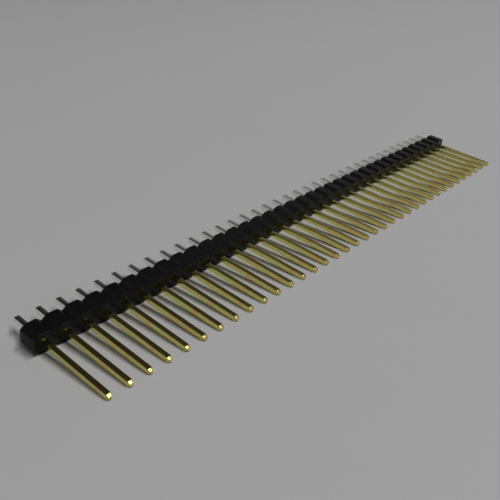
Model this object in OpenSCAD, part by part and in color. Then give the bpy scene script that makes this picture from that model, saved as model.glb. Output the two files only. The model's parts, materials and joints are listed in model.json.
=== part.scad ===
// Break-away pin header strip: one scored plastic insulator with a row of
// square plated pins pressed through it. The strip lies at rest on a flat
// surface, on the pin tips and on the front lower edge of the insulator.

/* [Strip] */
// Number of pins in the row
ways = 36; // [2:1:50]
// Distance from one pin to the next
pitch = 2.54; // [2.3:0.01:5.08]

/* [Insulator] */
// Depth of the insulator along the pins
insulator_depth = 2.54; // [1.5:0.01:8]
// Height of the insulator across the pins
insulator_height = 2.5; // [2:0.01:5]
// Width of the scored notch between two cells, at the surface
notch_width = 1.26; // [0.2:0.01:1.4]
// Depth of the scored notch
notch_depth = 0.47; // [0.1:0.01:0.6]
// Width of the flat at the root of the notch
notch_root = 0.1; // [0.02:0.01:0.16]

/* [Pins] */
// Width and thickness of the square wire
pin_side = 0.64; // [0.4:0.01:0.8]
// Length of the long mating end beyond the insulator
mating_length = 10.3; // [4:0.1:30]
// Length of the solder tail beyond the insulator
tail_length = 2.8; // [1.5:0.1:8]
// Length of the taper at the mating tip
mating_taper = 0.4; // [0.2:0.05:1]
// Length of the taper at the tail tip
tail_taper = 0.25; // [0.2:0.05:1]
// Width of the blunt end of the mating tip
mating_point = 0.3; // [0.1:0.01:0.38]
// Width of the blunt end of the tail tip
tail_point = 0.38; // [0.1:0.01:0.38]
// Gap left all round the pin in its hole
hole_clearance = 0; // [0:0.005:0.05]

/* [Hidden] */
// Height of the pin's centre line above the insulator's lower face
pin_level = insulator_height / 2;
// Length of the strip, and its first pin's place
strip_length = ways * pitch;
first_pin = (pitch - strip_length) / 2;
// The strip leans forward until the shoulder or the blunt end of the tips touches
shoulder_lean = atan2(pin_level - pin_side / 2, mating_length - mating_taper);
point_lean = atan2(pin_level - mating_point / 2, mating_length);
lean = min(shoulder_lean, point_lean);
// Front and back ends of the leaning strip, from the edge that it leans on
front_reach = mating_length * cos(lean) + (pin_level + mating_point / 2) * sin(lean);
back_reach = (insulator_depth + tail_length) * cos(lean)
    - (pin_level - tail_point / 2) * sin(lean);
rest_shift = (front_reach - back_reach) / 2;

function two_digits(n) = str(n < 10 ? "0" : "", n);
function pin_name(n) = str("pin_", two_digits(n));
function pin_x(n) = first_pin + (n - 1) * pitch;

// Places the strip, modelled level with its front lower edge on the X axis
module at_rest() {
    translate([0, rest_shift, 0]) rotate([lean, 0, 0]) children();
}

// Upper edge of one cell's outline, seen along the pins
function cell_top(x) = [
    [x - pitch / 2 + notch_root / 2, insulator_height - notch_depth],
    [x - (pitch - notch_width) / 2, insulator_height],
    [x + (pitch - notch_width) / 2, insulator_height],
    [x + pitch / 2 - notch_root / 2, insulator_height - notch_depth]
];

// Upper edge of the whole strip, and its mirror image for the lower edge
strip_top = concat(
    [[-strip_length / 2, insulator_height - notch_depth]],
    [for (n = [1:ways]) each cell_top(pin_x(n))],
    [[strip_length / 2, insulator_height - notch_depth]]
);
strip_outline = concat(
    strip_top,
    [for (k = [len(strip_top) - 1:-1:0])
        [strip_top[k][0], insulator_height - strip_top[k][1]]]
);

// Insulator: one moulding of joined cells, with a square hole for each pin
module insulator() {
    color([0.06, 0.06, 0.065])
    at_rest()
    translate([0, insulator_depth, 0])
    rotate([90, 0, 0])
    linear_extrude(height = insulator_depth)
    difference() {
        polygon(strip_outline);
        for (n = [1:ways])
            translate([pin_x(n), pin_level])
            square(pin_side + 2 * hole_clearance, center = true);
    }
}

// Side view of a pin: square wire, tapered to a blunt end on both sides
module pin_profile() {
    front = -mating_length;
    back = insulator_depth + tail_length;
    polygon([
        [front, -mating_point / 2],
        [front, mating_point / 2],
        [front + mating_taper, pin_side / 2],
        [back - tail_taper, pin_side / 2],
        [back, tail_point / 2],
        [back, -tail_point / 2],
        [back - tail_taper, -pin_side / 2],
        [front + mating_taper, -pin_side / 2]
    ]);
}

// Pin: the side profile crossed with itself, so all four sides taper
module pin(n) {
    color([0.72, 0.6, 0.3])
    at_rest()
    translate([pin_x(n), 0, pin_level])
    intersection() {
        rotate([90, 0, 90])
        linear_extrude(height = pin_side, center = true) pin_profile();
        rotate([0, 0, 90])
        linear_extrude(height = pin_side, center = true) pin_profile();
    }
}

insulator();
for (n = [1:ways])
    pin(n);
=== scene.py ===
"""Break-away pin header strip: the moulded insulator and its row of plated pins.

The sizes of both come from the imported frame, and the property groups add their finish.
The strip's own level frame has X along the row, Y along the pins from the mating ends to
the tails, and Z up, with its origin at the middle of the insulator's front face. AT_REST
leans it onto the surface that it lies on.
"""

import json
import math

import bmesh
import bpy
from bpy.props import FloatProperty, FloatVectorProperty, IntProperty, PointerProperty
from mathutils import Matrix, Vector, noise


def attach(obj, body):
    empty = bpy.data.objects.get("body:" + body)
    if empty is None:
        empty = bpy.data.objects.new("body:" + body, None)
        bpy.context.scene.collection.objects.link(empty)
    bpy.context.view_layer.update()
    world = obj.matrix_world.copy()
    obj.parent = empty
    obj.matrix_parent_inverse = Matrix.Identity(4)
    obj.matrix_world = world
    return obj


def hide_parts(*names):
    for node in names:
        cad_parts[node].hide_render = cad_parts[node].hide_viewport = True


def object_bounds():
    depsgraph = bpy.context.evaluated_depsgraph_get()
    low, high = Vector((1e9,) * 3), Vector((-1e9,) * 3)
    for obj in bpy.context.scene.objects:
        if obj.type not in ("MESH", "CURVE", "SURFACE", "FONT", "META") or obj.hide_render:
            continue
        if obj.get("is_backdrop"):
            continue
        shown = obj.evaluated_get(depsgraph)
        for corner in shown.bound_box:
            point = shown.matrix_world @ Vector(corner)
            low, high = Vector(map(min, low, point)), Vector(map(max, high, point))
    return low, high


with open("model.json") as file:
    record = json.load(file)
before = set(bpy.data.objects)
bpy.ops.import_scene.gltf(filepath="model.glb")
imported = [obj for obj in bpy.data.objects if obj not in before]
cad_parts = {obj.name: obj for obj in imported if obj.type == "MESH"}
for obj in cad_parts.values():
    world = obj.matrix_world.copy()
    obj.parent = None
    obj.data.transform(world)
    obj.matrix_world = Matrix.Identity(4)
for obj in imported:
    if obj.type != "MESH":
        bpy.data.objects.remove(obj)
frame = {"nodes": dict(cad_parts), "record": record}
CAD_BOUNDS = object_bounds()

bl_info = {
    "name": "Pin header strip",
    "version": (1, 0, 0),
    "blender": (4, 5, 0),
    "location": "3D View > Sidebar > Pin Header",
    "description": "Builds a break-away pin header strip on its packed frame",
    "category": "Add Mesh",
}

MM = 0.001
SAME = 1e-6  # coordinates closer than this, in metres, are the same one
SHARP = math.radians(20)  # edges that turn by more than this are rounded

# The broken ends: cuts along each edge, how far the roughness reaches along the strip as
# a multiple of the notch's root, its bumps to the metre, and the increment, lacunarity
# and octaves of the noise that makes them
BREAK_CUTS = 9
BREAK_REACH = 2.5
BREAK_BUMPS = 1500
BREAK_FRACTAL = (1.0, 2.0, 4)

# Where gold gives way to tin: its first and last possible place on a pin, measured from
# the insulator's back face, and how far the change takes
TIN_PLACES = (-0.6 * MM, 0.95 * MM)
TIN_FADE = 0.3 * MM
# The spot that a socket has rubbed: the first and last possible place of its middle,
# measured from the shoulder of the mating tip, and how far from there it is full and ends
SPOT_PLACES = (0.9 * MM, 5.5 * MM)
SPOT_FULL = 0.15 * MM
SPOT_END = 0.6 * MM

# How bright the room is at each height, from the horizon at 0 to overhead at 1
ROOM = ((0.0, 0.08), (0.36, 0.22), (0.44, 0.28), (0.55, 0.11), (0.62, 0.05), (0.72, 0.03))
OPENING = (-0.35, 0.50, 0.79)  # direction of a small pale opening in the room
OPENING_COLOUR = (0.55, 0.55, 0.55)
DIM = 0.3  # share of its brightness that the room keeps behind the tails

# Numbers of the Mix node's sockets for colours
MIX_A, MIX_B, MIX_RESULT = 6, 7, 2


# ------------------------------------------------------------ the strip's level frame


def mount(name):
    """One of the record's mounts, by name."""
    return next(m for m in frame["record"]["mounts"] if m["name"] == name)


def at_rest():
    """The matrix from the strip's level frame to the way that it lies."""
    along = Vector(mount("seating_face")["axis"]).normalized()
    row = Vector((1, 0, 0))
    turned = Matrix((row, along, row.cross(along))).transposed().to_4x4()
    return Matrix.Translation(mount("mating_face")["pos_m"]) @ turned


AT_REST = at_rest()
PIN_NODES = sorted(n for n in frame["nodes"] if n.startswith("pin_"))


def level_vertices(name):
    """A CAD node's vertices in the level frame."""
    level = AT_REST.inverted()
    return [level @ v.co for v in frame["nodes"][name].data.vertices]


def stations(values):
    """The different values among many, in order."""
    found = []
    for value in sorted(values):
        if not found or value - found[-1] > SAME:
            found.append(value)
    return found


def measure_insulator():
    """The insulator's sizes in the level frame, measured on its CAD node."""
    points = level_vertices("insulator")
    end, depth, top = (max(p[k] for p in points) for k in range(3))
    pitch = 2 * end / len(PIN_NODES)
    upper = [p for p in points if p.x < pitch - end + SAME and p.z > top / 2]
    flat = [p.x for p in upper if p.z > top - SAME]
    neck = min(p.z for p in upper)
    return {
        "end": end,  # half the strip's length
        "depth": depth,
        "top": top,  # half the height
        "pitch": pitch,
        "first": pitch / 2 - end,  # the middle of the first cell
        "flat": (max(flat) - min(flat)) / 2,  # half the flat top of a cell
        "neck": neck,  # half the height at the bottom of a notch
        # Half the flat at the bottom of a notch
        "root": stations(p.x + end for p in upper if p.z < neck + SAME)[1],
    }


def measure_pin():
    """Where a pin's tapers start and end along it, and its half widths there."""
    points = level_vertices(PIN_NODES[0])
    marks = stations(p.y for p in points)
    return [(y, max(p.z for p in points if abs(p.y - y) < SAME)) for y in marks]


INSULATOR = measure_insulator()
PIN = measure_pin()
SHOULDER, PIN_HALF = PIN[1]  # where the mating tip meets the shaft, and the half width there


# ------------------------------------------------------------------ sizes and colours


class InsulatorLook(bpy.types.PropertyGroup):
    """Sizes and colours of the moulded insulator's finish."""

    edge_radius: FloatProperty(
        name="Edge radius",
        description="Rounding that the mould leaves on the outer edges",
        default=0.05 * MM,
        unit="LENGTH",
    )
    hole_radius: FloatProperty(
        name="Hole edge radius",
        description="Rounding at the mouths of the pin holes",
        default=0.03 * MM,
        unit="LENGTH",
    )
    break_depth: FloatProperty(
        name="Break depth",
        description="Depth of the roughness where the strip was snapped off",
        default=0.07 * MM,
        unit="LENGTH",
    )
    plastic: FloatVectorProperty(
        name="Plastic",
        description="Colour of the moulded plastic",
        subtype="COLOR",
        default=(0.0062, 0.0068, 0.0062),
    )
    plastic_worn: FloatVectorProperty(
        name="Worn plastic",
        description="Colour of rubbed edges and of the broken ends",
        subtype="COLOR",
        default=(0.013, 0.0133, 0.014),
    )


class PinLook(bpy.types.PropertyGroup):
    """Sizes and colours of the pins' finish."""

    corner_radius: FloatProperty(
        name="Corner radius",
        description="Rounding along the corners of the drawn square wire",
        default=0.045 * MM,
        unit="LENGTH",
    )
    shoulder_reach: FloatProperty(
        name="Shoulder softening",
        description="How far the soft curve reaches where a taper meets the shaft",
        default=0.09 * MM,
        unit="LENGTH",
    )
    rim_reach: FloatProperty(
        name="Rim softening",
        description="How far the soft curve reaches at the rim of a blunt end",
        default=0.06 * MM,
        unit="LENGTH",
    )
    gold: FloatVectorProperty(
        name="Gold",
        description="Colour of the gold plating towards the points",
        subtype="COLOR",
        default=(0.72, 0.65, 0.21),
    )
    gold_root: FloatVectorProperty(
        name="Root gold",
        description="Colour of the gold plating where the pins leave the insulator",
        subtype="COLOR",
        default=(0.70, 0.695, 0.22),
    )
    gold_warm: FloatVectorProperty(
        name="Warm gold",
        description="Colour of the gold plating where it is thin",
        subtype="COLOR",
        default=(0.75, 0.56, 0.19),
    )
    gold_rubbed: FloatVectorProperty(
        name="Rubbed gold",
        description="Colour of the gold plating where a socket has rubbed it",
        subtype="COLOR",
        default=(0.80, 0.40, 0.14),
    )
    tin: FloatVectorProperty(
        name="Tin",
        description="Colour of the tin plating on the solder tails",
        subtype="COLOR",
        default=(0.84, 0.845, 0.77),
    )
    corner_worn: FloatVectorProperty(
        name="Worn corners",
        description="Colour of the plating where the wire's corners are rubbed",
        subtype="COLOR",
        default=(0.86, 0.76, 0.42),
    )
    chance: IntProperty(
        name="Chance",
        description="Seed for the places of the tin's edge and of the rubbed spot on each pin",
        default=327,
    )


class StageLook(bpy.types.PropertyGroup):
    """The floor, the light and the camera."""

    floor_size: FloatProperty(
        name="Floor size",
        description="Width of the square floor",
        default=4.0,
        unit="LENGTH",
    )
    floor_colour: FloatVectorProperty(
        name="Floor colour",
        description="Colour of the pale floor",
        subtype="COLOR",
        default=(0.62, 0.62, 0.625),
    )
    lamp_place: FloatVectorProperty(
        name="Lamp place",
        description="Middle of the long overhead softbox",
        subtype="TRANSLATION",
        default=(0.206, -0.445, 1.09),
    )
    lamp_along: FloatVectorProperty(
        name="Lamp direction",
        description="Direction in which the softbox is long",
        subtype="XYZ",
        default=(0.68, 0.70, 0.20),
    )
    lamp_length: FloatProperty(
        name="Lamp length",
        description="Length of the softbox",
        default=1.0,
        unit="LENGTH",
    )
    lamp_width: FloatProperty(
        name="Lamp width",
        description="Width of the softbox",
        default=0.10,
        unit="LENGTH",
    )
    lamp_power: FloatProperty(
        name="Lamp power",
        description="Power of the softbox, in watts",
        default=7.75,
    )
    fill_place: FloatVectorProperty(
        name="Fill place",
        description="Middle of the large weak light behind the camera",
        subtype="TRANSLATION",
        default=(-0.60, -0.66, 0.58),
    )
    fill_size: FloatProperty(
        name="Fill size",
        description="Width of the weak light",
        default=0.35,
        unit="LENGTH",
    )
    fill_power: FloatProperty(
        name="Fill power",
        description="Power of the weak light, in watts",
        default=0.15,
    )
    azimuth: FloatProperty(
        name="Camera azimuth",
        description="Direction of the camera round the strip",
        default=math.radians(-51.03),
        unit="ROTATION",
    )
    elevation: FloatProperty(
        name="Camera elevation",
        description="Height of the camera above the horizon",
        default=math.radians(28.50),
        unit="ROTATION",
    )
    roll: FloatProperty(
        name="Camera roll",
        description="Turn of the camera about its own axis",
        default=math.radians(3.21),
        unit="ROTATION",
    )
    distance: FloatProperty(
        name="Camera distance",
        description="Distance from the camera to the point that it looks at",
        default=83.07 * MM,
        unit="LENGTH",
    )
    lens: FloatProperty(
        name="Lens",
        description="Focal length on a 36 mm sensor, in millimetres",
        default=45.62,
    )
    aim: FloatVectorProperty(
        name="Aim",
        description="What the camera looks at, from the middle of the strip's box",
        subtype="TRANSLATION",
        default=(-14.74 * MM, 0.75 * MM, -0.16 * MM),
    )


# ---------------------------------------------------------------------- shader nodes


def feed(socket, value):
    """Links another node's output to an input, or sets the input to a plain value."""
    if isinstance(value, bpy.types.NodeSocket):
        socket.id_data.links.new(value, socket)
    else:
        socket.default_value = value


def node(tree, kind, **settings):
    """A new shader node with its settings; a key such as in_Scale feeds that input."""
    made = tree.nodes.new("ShaderNode" + kind)
    for key, value in settings.items():
        if key.startswith("in_"):
            feed(made.inputs[key[3:].replace("_", " ")], value)
        else:
            setattr(made, key, value)
    return made


def calculated(tree, operation, *values, **settings):
    """The value that a Math node works out from other nodes' values or numbers."""
    made = node(tree, "Math", operation=operation, **settings)
    for socket, value in zip(made.inputs, values):
        feed(socket, value)
    return made.outputs["Value"]


def likeness(tree, first, second):
    """How far two directions agree: 1 when they are the same, 0 at a right angle."""
    made = node(tree, "VectorMath", operation="DOT_PRODUCT")
    feed(made.inputs[0], first)
    feed(made.inputs[1], second)
    return made.outputs["Value"]


def ranged(tree, value, span, to=(0, 1)):
    """A value moved from one range to another, and kept within it."""
    ends = {"From Min": span[0], "From Max": span[1], "To Min": to[0], "To Max": to[1]}
    change = node(tree, "MapRange", in_Value=value)
    for title, number in ends.items():
        change.inputs[title].default_value = number
    return change.outputs["Result"]


def mixed(tree, factor, first, second):
    """A mix of two colours, each a plain one or another node's."""
    mix = node(tree, "Mix", data_type="RGBA", in_Factor=factor)
    for index, colour in ((MIX_A, first), (MIX_B, second)):
        plain = not isinstance(colour, bpy.types.NodeSocket)
        feed(mix.inputs[index], (*colour, 1.0) if plain else colour)
    return mix.outputs[MIX_RESULT]


def mottled(tree, grain, colour, darkest):
    """A colour that a grain darkens in places, down to a share of itself."""
    return mixed(tree, grain, tuple(darkest * c for c in colour), colour)


def bumped(tree, shader, height, strength, distance):
    """Sends a height through a Bump node to the shader's normal."""
    bump = node(tree, "Bump", in_Strength=strength, in_Distance=distance, in_Height=height)
    feed(shader.inputs["Normal"], bump.outputs["Normal"])


def new_group(name, inputs, outputs):
    """An empty node group with float or vector sockets, and its two end nodes."""
    group = bpy.data.node_groups.new(name, "ShaderNodeTree")
    for direction, sockets in (("INPUT", inputs), ("OUTPUT", outputs)):
        for title, kind, default in sockets:
            socket = group.interface.new_socket(
                name=title, in_out=direction, socket_type="NodeSocket" + kind
            )
            if default is not None:
                socket.default_value = default
    start = group.nodes.new("NodeGroupInput")
    finish = group.nodes.new("NodeGroupOutput")
    return group, start, finish


def grain_group():
    """Fine and broad noise, stretched along a direction: grain, streaks and mottling."""
    group, start, finish = new_group(
        "Surface grain",
        [
            ("Vector", "Vector", None),
            ("Stretch", "Vector", (1.0, 1.0, 1.0)),
            ("Fine Scale", "Float", 20000.0),
            ("Broad Scale", "Float", 1500.0),
        ],
        [("Fine", "Float", None), ("Broad", "Float", None)],
    )
    stretched = node(group, "VectorMath", operation="MULTIPLY")
    feed(stretched.inputs[0], start.outputs["Vector"])
    feed(stretched.inputs[1], start.outputs["Stretch"])
    for title, detail in (("Fine", 4.0), ("Broad", 3.0)):
        grain = node(group, "TexNoise", in_Detail=detail, in_Roughness=0.6)
        feed(grain.inputs["Vector"], stretched.outputs["Vector"])
        feed(grain.inputs["Scale"], start.outputs[title + " Scale"])
        feed(finish.inputs[title], grain.outputs["Fac"])
    return group


def wear_group():
    """A mask of the rounded edges, broken up by a noise."""
    group, start, finish = new_group(
        "Edge wear",
        [("Breakup", "Float", 0.5), ("Amount", "Float", 1.0), ("Radius", "Float", 0.05 * MM)],
        [("Mask", "Float", None)],
    )
    # Close to an edge, a rounded normal turns away from the surface's own
    rounded = node(group, "Bevel", samples=4, in_Radius=start.outputs["Radius"])
    plain = node(group, "NewGeometry")
    flatness = likeness(group, rounded.outputs["Normal"], plain.outputs["Normal"])
    edge = ranged(group, flatness, (0.995, 0.93))
    broken = ranged(group, start.outputs["Breakup"], (0.35, 0.6))
    worn = calculated(group, "MULTIPLY", edge, broken)
    mask = calculated(group, "MULTIPLY", worn, start.outputs["Amount"], use_clamp=True)
    feed(finish.inputs["Mask"], mask)
    return group


def grouped(tree, name, maker, **values):
    """A node that places a shared group, made on first use, and feeds its inputs."""
    placed = tree.nodes.new("ShaderNodeGroup")
    placed.node_tree = bpy.data.node_groups.get(name) or maker()
    for key, value in values.items():
        feed(placed.inputs[key.replace("_", " ")], value)
    return placed


def surface_grain(tree, level, **values):
    """The fine and the broad noise of the shared grain, with so many grains to the metre."""
    placed = grouped(tree, "Surface grain", grain_group, Vector=level, **values)
    return placed.outputs["Fine"], placed.outputs["Broad"]


def edge_wear(tree, breakup, **values):
    """The mask of the shared edge wear."""
    return grouped(tree, "Edge wear", wear_group, Breakup=breakup, **values).outputs["Mask"]


# ------------------------------------------------------------------------- materials


def new_material(name):
    """A node material, its tree, its Principled BSDF, and places in the level frame."""
    material = bpy.data.materials.new(name)
    material.use_nodes = True
    tree = material.node_tree
    level = node(tree, "Mapping", vector_type="TEXTURE")
    level.inputs["Location"].default_value = AT_REST.to_translation()
    level.inputs["Rotation"].default_value = AT_REST.to_euler()
    feed(level.inputs["Vector"], node(tree, "TexCoord").outputs["Object"])
    return material, tree, tree.nodes["Principled BSDF"], level.outputs["Vector"]


def plastic_material(look):
    """Black moulded thermoplastic: satin, faintly mottled, rubbed at its edges."""
    material, tree, shader, level = new_material("Moulded thermoplastic")
    fine, broad = surface_grain(tree, level, Fine_Scale=16000.0, Broad_Scale=900.0)
    worn = edge_wear(tree, broad, Amount=0.6, Radius=0.04 * MM)

    # The torn ends are paler and matt, to a little deeper than they are rough
    place = node(tree, "SeparateXYZ", in_Vector=level).outputs
    end, torn = INSULATOR["end"], look.break_depth * 1.3
    broken = ranged(tree, calculated(tree, "ABSOLUTE", place["X"]), (end - torn, end - torn * 0.8))

    pale = calculated(tree, "MAXIMUM", broken, worn)
    moulded = mottled(tree, broad, look.plastic, darkest=0.7)
    feed(shader.inputs["Base Color"], mixed(tree, pale, moulded, look.plastic_worn))
    satin = ranged(tree, broad, (0.3, 0.7), to=(0.26, 0.35))
    matt = ranged(tree, broken, (0, 1), to=(0, 0.58))
    feed(shader.inputs["Roughness"], calculated(tree, "MAXIMUM", satin, matt))
    shader.inputs["Specular IOR Level"].default_value = 0.19
    bumped(tree, shader, fine, strength=0.35, distance=0.006 * MM)
    return material


def pin_chance(tree, along_row, seed):
    """A chance value from 0 to 1, the same all over a pin and another on the next."""
    middle = len(PIN_NODES) / 2
    count = calculated(tree, "MULTIPLY_ADD", along_row, 1 / INSULATOR["pitch"], seed + middle)
    pin = calculated(tree, "FLOOR", count)
    return node(tree, "TexWhiteNoise", noise_dimensions="1D", in_W=pin).outputs["Value"]


def gold_colour(tree, look, along_pin, chance, mottling):
    """The gold's colour: greener at the root, warmer where it is thin or rubbed."""
    fine, broad = mottling
    root = ranged(tree, along_pin, (SHOULDER, -1 * MM))
    gold = mixed(tree, root, look.gold, look.gold_root)
    thin = ranged(tree, broad, (0.48, 0.70))
    gold = mixed(tree, thin, gold, look.gold_warm)

    # A mating socket has rubbed each pin a little way back from its point
    middle = ranged(tree, chance, (0, 1), to=[SHOULDER + place for place in SPOT_PLACES])
    off = calculated(tree, "ABSOLUTE", calculated(tree, "SUBTRACT", along_pin, middle))
    spot = ranged(tree, off, (SPOT_END, SPOT_FULL))
    patchy = ranged(tree, fine, (0.42, 0.6), to=(0, 0.9))
    rubbed = calculated(tree, "MULTIPLY", spot, patchy)
    return mixed(tree, rubbed, gold, look.gold_rubbed)


def tin_share(tree, along_pin, chance):
    """Where the plating is tin: from near the insulator's back, on some pins later."""
    edge = ranged(tree, chance, (0.6, 1), to=TIN_PLACES)
    past = calculated(tree, "SUBTRACT", along_pin, edge)
    back = INSULATOR["depth"]
    return ranged(tree, past, (back, back + TIN_FADE))


def plating_material(look):
    """Drawn square wire: gold plating on the mating end, bright tin on the tail."""
    material, tree, shader, level = new_material("Gold and tin plating")
    drawn = (1.0, 0.035, 1.0)
    streaks = surface_grain(tree, level, Stretch=drawn, Fine_Scale=26000.0, Broad_Scale=5000.0)
    mottling = surface_grain(tree, level, Fine_Scale=6000.0, Broad_Scale=700.0)
    worn = edge_wear(tree, mottling[0], Amount=0.5, Radius=0.05 * MM)

    place = node(tree, "SeparateXYZ", in_Vector=level).outputs
    chance = pin_chance(tree, place["X"], look.chance)
    gold = gold_colour(tree, look, place["Y"], chance, mottling)
    plated = mixed(tree, tin_share(tree, place["Y"], chance), gold, look.tin)
    feed(shader.inputs["Base Color"], mixed(tree, worn, plated, look.corner_worn))
    shader.inputs["Metallic"].default_value = 1.0

    # The pressed points are duller than the drawn sides
    pressed = ranged(tree, place["Y"], (SHOULDER + 0.1 * MM, SHOULDER), to=(0, 0.16))
    streaked = ranged(tree, streaks[0], (0.3, 0.7), to=(0.08, 0.16))
    feed(shader.inputs["Roughness"], calculated(tree, "ADD", pressed, streaked))
    bumped(tree, shader, streaks[1], strength=0.15, distance=0.004 * MM)
    return material


def floor_material(look):
    """A pale matt tabletop with a faint mottling."""
    material, tree, shader, level = new_material("Pale tabletop")
    fine, broad = surface_grain(tree, level, Fine_Scale=3000.0, Broad_Scale=40.0)
    feed(shader.inputs["Base Color"], mottled(tree, broad, look.floor_colour, darkest=0.97))
    shader.inputs["Roughness"].default_value = 0.7
    shader.inputs["Specular IOR Level"].default_value = 0.2
    bumped(tree, shader, fine, strength=0.05, distance=0.01 * MM)
    return material


# ---------------------------------------------------------------------------- meshes


def cell_outline(bm):
    """One cell's front face round its square hole: a quarter of it, mirrored twice."""
    side, top = INSULATOR["pitch"] / 2, INSULATOR["top"]
    flat, neck, score = INSULATOR["flat"], INSULATOR["neck"], side - INSULATOR["root"]
    hole = PIN_HALF
    quarter = [
        [(0, hole), (0, top), (flat, top), (hole, hole)],
        [(hole, hole), (flat, top), (score, neck), (score, 0), (hole, 0)],
        [(score, 0), (score, neck), (side, neck), (side, 0)],
    ]
    for outline in quarter:
        bm.faces.new([bm.verts.new((x, 0, z)) for x, z in outline])
    for axis in ("X", "Z"):
        half = bm.verts[:] + bm.edges[:] + bm.faces[:]
        bmesh.ops.mirror(bm, geom=half, axis=axis, merge_dist=SAME)
    bmesh.ops.remove_doubles(bm, verts=bm.verts[:], dist=SAME)


def only(kind, geometry):
    """The vertices, edges or faces among mixed geometry."""
    return [g for g in geometry if isinstance(g, kind)]


def on_end(vertex):
    """Whether a vertex lies on one of the strip's two broken ends."""
    return abs(vertex.co.x) > INSULATOR["end"] - SAME


def in_hole(vertex):
    """Whether a vertex lies on the wall of a pin hole."""
    pitch = INSULATOR["pitch"]
    offset = (vertex.co.x + INSULATOR["end"]) / pitch % 1 - 0.5
    return abs(offset) * pitch < PIN_HALF + SAME and abs(vertex.co.z) < PIN_HALF + SAME


def both(test, edge):
    """Whether both vertices of an edge pass a test."""
    return all(map(test, edge.verts))


def crosswise(edge):
    """Whether an edge lies across the pins."""
    return abs(edge.verts[0].co.y - edge.verts[1].co.y) < SAME


def sharp_edges(bm):
    """The edges of a mesh that turn sharply."""
    return [e for e in bm.edges if e.is_manifold and e.calc_face_angle() > SHARP]


def soften(bm, geometry, radius, segments, affect="EDGES"):
    """Rounds some edges of a mesh, or some corners of a flat one."""
    bmesh.ops.bevel(
        bm,
        geom=geometry,
        offset=radius,
        offset_type="OFFSET",
        affect=affect,
        segments=segments,
        profile=0.5,
        material=-1,
        clamp_overlap=True,
    )


def joined_cells():
    """The sharp-edged moulding: a row of joined cells, drawn out to its depth."""
    bm = bmesh.new()
    cell_outline(bm)
    pitch, depth = INSULATOR["pitch"], INSULATOR["depth"]
    bmesh.ops.translate(bm, verts=bm.verts[:], vec=(INSULATOR["first"], 0, 0))
    cell = bm.verts[:] + bm.edges[:] + bm.faces[:]
    for n in range(1, len(PIN_NODES)):
        copy = bmesh.ops.duplicate(bm, geom=cell)["geom"]
        bmesh.ops.translate(bm, verts=only(bmesh.types.BMVert, copy), vec=(n * pitch, 0, 0))
    bmesh.ops.remove_doubles(bm, verts=bm.verts[:], dist=SAME)
    drawn = bmesh.ops.extrude_face_region(bm, geom=bm.faces[:])["geom"]
    bmesh.ops.translate(bm, verts=only(bmesh.types.BMVert, drawn), vec=(0, depth, 0))
    bmesh.ops.recalc_face_normals(bm, faces=bm.faces[:])
    return bm


def snap_ends(bm, depth):
    """Roughens both ends, fading out along the strip."""
    end, reach = INSULATOR["end"], BREAK_REACH * INSULATOR["root"]
    for v in bm.verts:
        fade = 1 - (end - abs(v.co.x)) / reach
        if fade > 0:
            side = math.copysign(1, v.co.x)
            place = Vector((side, v.co.y * BREAK_BUMPS, v.co.z * BREAK_BUMPS))
            torn = 0.5 + 0.8 * noise.fractal(place, *BREAK_FRACTAL)
            v.co.x -= side * fade * depth * min(max(torn, 0), 1)


def insulator_mesh(look):
    """The whole moulding: joined cells, rounded edges, and ends that were snapped off."""
    bm = joined_cells()
    ends = [e for e in bm.edges if both(on_end, e)]
    bmesh.ops.subdivide_edges(bm, edges=ends, cuts=BREAK_CUTS, use_grid_fill=True)
    outer = [e for e in sharp_edges(bm) if not both(in_hole, e) and not both(on_end, e)]
    soften(bm, outer, look.edge_radius, segments=3)
    mouths = [e for e in sharp_edges(bm) if both(in_hole, e) and crosswise(e)]
    soften(bm, mouths, look.hole_radius, segments=2)
    snap_ends(bm, look.break_depth)
    return bm


def soft_corner(before, corner, after, reach, steps):
    """Points of a soft curve that takes the place of the corner between two lines."""
    start = corner + (before - corner).normalized() * reach
    finish = corner + (after - corner).normalized() * reach
    for k in range(steps + 1):
        t = k / steps
        yield start.lerp(corner, t).lerp(corner.lerp(finish, t), t)


def pin_profile(look):
    """Places along a pin and its half width there, with soft shoulders and rims."""
    marks = [Vector(m) for m in PIN]
    lines = [Vector((marks[0].x, 0)), *marks, Vector((marks[-1].x, 0))]
    reaches = [look.rim_reach, look.shoulder_reach, look.shoulder_reach, look.rim_reach]
    for before, corner, after, reach in zip(lines, marks, lines[2:], reaches):
        yield from soft_corner(before, corner, after, reach, steps=4)


def pin_mesh(look):
    """One pin along Y: a rounded square, drawn through the profile's widths."""
    bm = bmesh.new()
    bmesh.ops.create_grid(bm, x_segments=1, y_segments=1, size=PIN_HALF)
    bmesh.ops.rotate(bm, verts=bm.verts[:], matrix=Matrix.Rotation(math.radians(90), 3, "X"))
    soften(bm, bm.verts[:], look.corner_radius, segments=4, affect="VERTICES")
    ring, face = bm.verts[:], bm.faces[:][0]
    place, width = 0.0, PIN_HALF
    for n, (next_place, next_width) in enumerate(pin_profile(look)):
        if n:
            drawn = bmesh.ops.extrude_face_region(bm, geom=[face])["geom"]
            ring = only(bmesh.types.BMVert, drawn)
            face = only(bmesh.types.BMFace, drawn)[0]
        ratio = next_width / width
        bmesh.ops.scale(bm, verts=ring, vec=(ratio, 1, ratio))
        bmesh.ops.translate(bm, verts=ring, vec=(0, next_place - place, 0))
        place, width = next_place, next_width
    bmesh.ops.recalc_face_normals(bm, faces=bm.faces[:])
    return bm


# --------------------------------------------------------------------------- objects


def new_object(name, data):
    """A new object in the scene."""
    made = bpy.data.objects.new(name, data)
    bpy.context.scene.collection.objects.link(made)
    return made


def mesh_object(name, bm, material):
    """A new object in the scene with a finished mesh and its material."""
    mesh = bpy.data.meshes.new(name)
    bm.to_mesh(mesh)
    bm.free()
    mesh.materials.append(material)
    return new_object(name, mesh)


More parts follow.
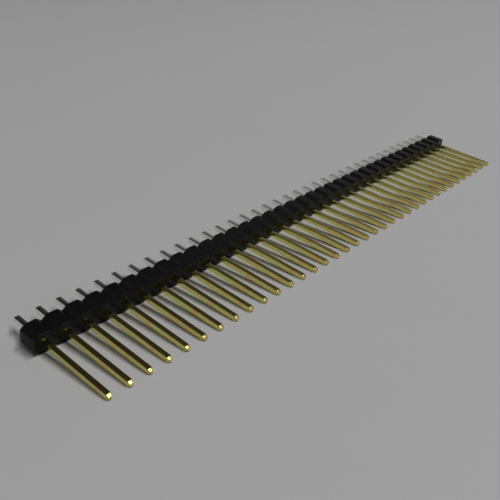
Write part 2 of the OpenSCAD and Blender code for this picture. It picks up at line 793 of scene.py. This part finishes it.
def new_piece(name, bm, place, material, nodes):
    """A finished piece in the frame, which takes the place of its CAD nodes."""
    bm.transform(AT_REST @ place)
    piece = mesh_object(name, bm, material)
    piece.data.shade_smooth()
    weighted = piece.modifiers.new("Even shading", "WEIGHTED_NORMAL")
    weighted.keep_sharp = True
    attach(piece, "root")
    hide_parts(*nodes)


def add_floor(look):
    """A plain pale floor under the strip."""
    bm = bmesh.new()
    bmesh.ops.create_grid(bm, x_segments=1, y_segments=1, size=look.floor_size / 2)
    floor = mesh_object("floor", bm, floor_material(look))
    floor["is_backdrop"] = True


def add_lamp(name, place, along, length, width, power):
    """A rectangular light that faces the strip, long in one direction."""
    lamp = bpy.data.lights.new(name, "AREA")
    lamp.shape = "RECTANGLE"
    lamp.size = length
    lamp.size_y = width
    lamp.energy = power
    back = Vector(place).normalized()
    across = back.cross(Vector(along)).normalized()
    turned = Matrix((across.cross(back), across, back)).transposed()
    new_object(name, lamp).matrix_world = Matrix.Translation(place) @ turned.to_4x4()


def add_room(scene):
    """A room that is palest a little above the horizon and dark higher up, but for one
    small opening, and dim behind the tails."""
    world = bpy.data.worlds.new("room")
    world.use_nodes = True
    tree = world.node_tree
    direction = node(tree, "TexCoord").outputs["Generated"]
    place = node(tree, "SeparateXYZ", in_Vector=direction).outputs
    heights = node(tree, "ValToRGB", in_Fac=place["Z"])
    ramp = heights.color_ramp
    while len(ramp.elements) < len(ROOM):
        ramp.elements.new(1.0)
    for element, (height, brightness) in zip(ramp.elements, ROOM):
        element.position = height
        element.color = (brightness, brightness, brightness, 1.0)
    opening = ranged(tree, likeness(tree, direction, OPENING), (0.95, 0.99))
    room = mixed(tree, opening, heights.outputs["Color"], OPENING_COLOUR)
    background = tree.nodes["Background"].inputs
    feed(background["Color"], room)
    feed(background["Strength"], ranged(tree, place["Y"], (0.48, 0.72), to=(1.0, DIM)))
    scene.world = world


def add_camera(scene, look):
    """The camera, looking down the row from the first pin's end."""
    level = math.cos(look.elevation)
    row, away = math.sin(look.azimuth), -math.cos(look.azimuth)
    back = Vector((row * level, away * level, math.sin(look.elevation)))
    aim = (CAD_BOUNDS[0] + CAD_BOUNDS[1]) / 2 + Vector(look.aim)
    place = Matrix.Translation(aim + back * look.distance)
    turn = (-back).to_track_quat("-Z", "Y").to_matrix().to_4x4()
    lens = bpy.data.cameras.new("camera")
    lens.lens = look.lens
    lens.clip_start = 1 * MM
    camera = new_object("camera", lens)
    camera.matrix_world = place @ turn @ Matrix.Rotation(look.roll, 4, "Z")
    scene.camera = camera


# ------------------------------------------------------------------------- operators


class PINHEADER_OT_insulator(bpy.types.Operator):
    """Builds the scored insulator as one moulding"""

    bl_idname = "pin_header.insulator"
    bl_label = "Insulator"

    def execute(self, context):
        look = context.scene.insulator_look
        material = plastic_material(look)
        bm = insulator_mesh(look)
        new_piece("insulator_moulding", bm, Matrix(), material, ["insulator"])
        return {"FINISHED"}


class PINHEADER_OT_pins(bpy.types.Operator):
    """Builds the row of plated square pins"""

    bl_idname = "pin_header.pins"
    bl_label = "Pins"

    def execute(self, context):
        look = context.scene.pin_look
        material = plating_material(look)
        pin = pin_mesh(look)
        for n, node_name in enumerate(PIN_NODES):
            place = Matrix.Translation((INSULATOR["first"] + n * INSULATOR["pitch"], 0, 0))
            name = node_name.replace("pin", "plated_pin")
            new_piece(name, pin.copy(), place, material, [node_name])
        pin.free()
        return {"FINISHED"}


class PINHEADER_OT_stage(bpy.types.Operator):
    """Sets the pale floor, the overhead softbox, the dim room and the camera"""

    bl_idname = "pin_header.stage"
    bl_label = "Stage"

    def execute(self, context):
        look = context.scene.stage_look
        add_floor(look)
        length, width = look.lamp_length, look.lamp_width
        add_lamp("softbox", look.lamp_place, look.lamp_along, length, width, look.lamp_power)
        size = look.fill_size
        add_lamp("fill", look.fill_place, (0, 0, 1), size, size, look.fill_power)
        add_room(context.scene)
        add_camera(context.scene, look)
        context.scene.view_settings.view_transform = "Standard"
        return {"FINISHED"}


class PINHEADER_PT_panel(bpy.types.Panel):
    """Lists the strip's operators in the sidebar"""

    bl_label = "Pin Header"
    bl_idname = "PINHEADER_PT_panel"
    bl_space_type = "VIEW_3D"
    bl_region_type = "UI"
    bl_category = "Pin Header"

    def draw(self, context):
        for operator in OPERATORS:
            self.layout.operator(operator.bl_idname)


LOOKS = {"insulator_look": InsulatorLook, "pin_look": PinLook, "stage_look": StageLook}
OPERATORS = (PINHEADER_OT_insulator, PINHEADER_OT_pins, PINHEADER_OT_stage)
CLASSES = (*LOOKS.values(), *OPERATORS, PINHEADER_PT_panel)


def register():
    for cls in CLASSES:
        bpy.utils.register_class(cls)
    for name, look in LOOKS.items():
        setattr(bpy.types.Scene, name, PointerProperty(type=look))


def unregister():
    for name in LOOKS:
        delattr(bpy.types.Scene, name)
    for cls in reversed(CLASSES):
        bpy.utils.unregister_class(cls)


def write_sizes():
    """Works out the CAD model's box and the visual model's box, as plain lists."""
    boxes = {"cad": CAD_BOUNDS, "visual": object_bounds()}
    plain = {name: [list(corner) for corner in box] for name, box in boxes.items()}


def main():
    register()
    bpy.ops.pin_header.insulator()
    bpy.ops.pin_header.pins()
    bpy.ops.pin_header.stage()
    write_sizes()


if __name__ == "__main__":
    main()
